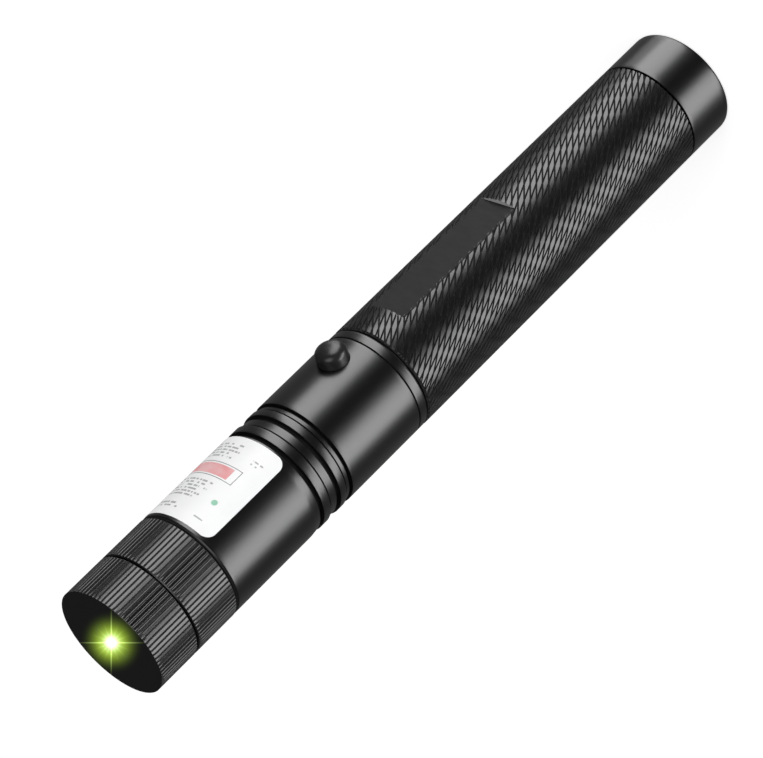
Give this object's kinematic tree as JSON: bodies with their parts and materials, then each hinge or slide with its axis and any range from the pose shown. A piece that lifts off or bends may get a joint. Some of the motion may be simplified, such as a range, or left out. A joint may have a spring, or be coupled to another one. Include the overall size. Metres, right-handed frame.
{
  "type": "laser pointer",
  "caption": "Slim cylindrical laser pointer with a knurled grip, push button, twist focus ring, screw-on pattern cap and key-locked tail cap.",
  "frame": {"origin": "centre of the tail face, on the key lock's plug beside its keyway", "axes": "+Z along the barrel towards the beam, -Y through the push button, +X to the right seen from the button side with the beam up"},
  "size_m": [0.023, 0.0262, 0.165],
  "materials": {
    "anodised_black": "black anodised, satin gloss",
    "bare_aluminium": "turned",
    "black_rubber": "matt",
    "button_plastic": "moulded, glossy",
    "label_film": "printed white film",
    "coated_glass": "polished, coated",
    "grating_film": "embossed film",
    "turned_brass": "turned",
    "nickel_plate": "nickel plated",
    "spring_steel": "drawn wire",
    "circuit_board": "green solder mask",
    "component_black": "moulded",
    "cell_sleeve": "shrink sleeve over the cell's can",
    "insulating_fibre": "pressed fibre",
    "crystal": "polished, coated"
  },
  "bodies": {
    "tube_body": {"battery_tube": "anodised_black", "battery_cell": "cell_sleeve", "cell_positive_cap": "nickel_plate", "cell_insulator_ring": "insulating_fibre"},
    "tail_seal_body": {"tail_seal_ring": "black_rubber"},
    "tail_body": {"tail_cap": "anodised_black", "lock_barrel": "nickel_plate", "lock_nut": "turned_brass", "tail_spacer": "insulating_fibre", "tail_board": "circuit_board", "board_ring": "turned_brass", "tail_spring": "spring_steel", "contact_pad": "turned_brass"},
    "lock_body": {"lock_plug": "nickel_plate", "lock_cam": "turned_brass"},
    "neck_seal_body": {"neck_seal_ring": "black_rubber"},
    "head_body": {"head_housing": "anodised_black", "label": "label_film", "contact_board": "circuit_board", "driver_board": "circuit_board", "driver_chip": "component_black", "power_inductor": "component_black", "chip_resistor_1": "component_black", "chip_resistor_2": "component_black", "contact_spring": "spring_steel", "tact_switch": "component_black", "switch_terminal_1": "nickel_plate", "switch_terminal_2": "nickel_plate", "switch_terminal_3": "nickel_plate", "switch_terminal_4": "nickel_plate", "heat_sink": "bare_aluminium", "module_barrel": "turned_brass", "diode_clamp_ring": "turned_brass", "pump_diode": "nickel_plate", "diode_pin_1": "nickel_plate", "diode_pin_2": "nickel_plate", "diode_pin_3": "nickel_plate", "crystal_mount": "turned_brass", "laser_crystal": "crystal", "expander_holder": "turned_brass", "expander_lens": "coated_glass", "infrared_filter": "coated_glass"},
    "button_body": {"switch_button": "button_plastic", "switch_plunger": "component_black"},
    "focus_seal_body": {"focus_seal_ring": "black_rubber"},
    "focus_body": {"focus_ring": "anodised_black", "focus_lens": "coated_glass", "lens_retainer": "anodised_black"},
    "star_seal_body": {"star_seal_ring": "black_rubber"},
    "star_body": {"star_cap": "anodised_black", "front_window": "coated_glass", "grating_disc": "grating_film", "grating_retainer": "anodised_black"}
  },
  "joints": [
    {"name": "tail_travel", "type": "slide", "parent": "tube_body", "child": "tail_seal_body", "axis": [0, 0, -1], "range_m": [0, 0.004]},
    {"name": "tail_turn", "type": "hinge", "parent": "tail_seal_body", "child": "tail_body", "pos_m": [0, 0, 0.01095], "axis": [0, 0, -1], "range_deg": [0, 1440]},
    {"name": "head_travel", "type": "slide", "parent": "tube_body", "child": "neck_seal_body", "axis": [0, 0, 1], "range_m": [0, 0.004]},
    {"name": "head_turn", "type": "hinge", "parent": "neck_seal_body", "child": "head_body", "pos_m": [0, 0, 0.09215], "axis": [0, 0, 1], "range_deg": [0, 1440]},
    {"name": "focus_travel", "type": "slide", "parent": "head_body", "child": "focus_seal_body", "axis": [0, 0, 1], "range_m": [0, 0.0015]},
    {"name": "focus_turn", "type": "hinge", "parent": "focus_seal_body", "child": "focus_body", "pos_m": [0, 0, 0.14515], "axis": [0, 0, 1], "range_deg": [0, 1080]},
    {"name": "star_cap_travel", "type": "slide", "parent": "focus_body", "child": "star_seal_body", "axis": [0, 0, 1], "range_m": [0, 0.003]},
    {"name": "star_cap_turn", "type": "hinge", "parent": "star_seal_body", "child": "star_body", "pos_m": [0, 0, 0.15555], "axis": [0, 0, 1], "range_deg": [0, 1440]},
    {"name": "key_turn", "type": "hinge", "parent": "tail_body", "child": "lock_body", "pos_m": [0, 0, 0.0002], "axis": [0, 0, 1], "range_deg": [0, 90]},
    {"name": "button_press", "type": "slide", "parent": "head_body", "child": "button_body", "axis": [0, 1, 0], "range_m": [0, 0.0005], "stiffness_N_per_m": 1000, "springref_m": -0.001}
  ],
  "couplings": [
    {"joint": "tail_turn", "follows": "tail_travel", "rad_per_m": 6283},
    {"joint": "head_turn", "follows": "head_travel", "rad_per_m": 6283},
    {"joint": "focus_turn", "follows": "focus_travel", "rad_per_m": 12566},
    {"joint": "star_cap_turn", "follows": "star_cap_travel", "rad_per_m": 8377}
  ]
}
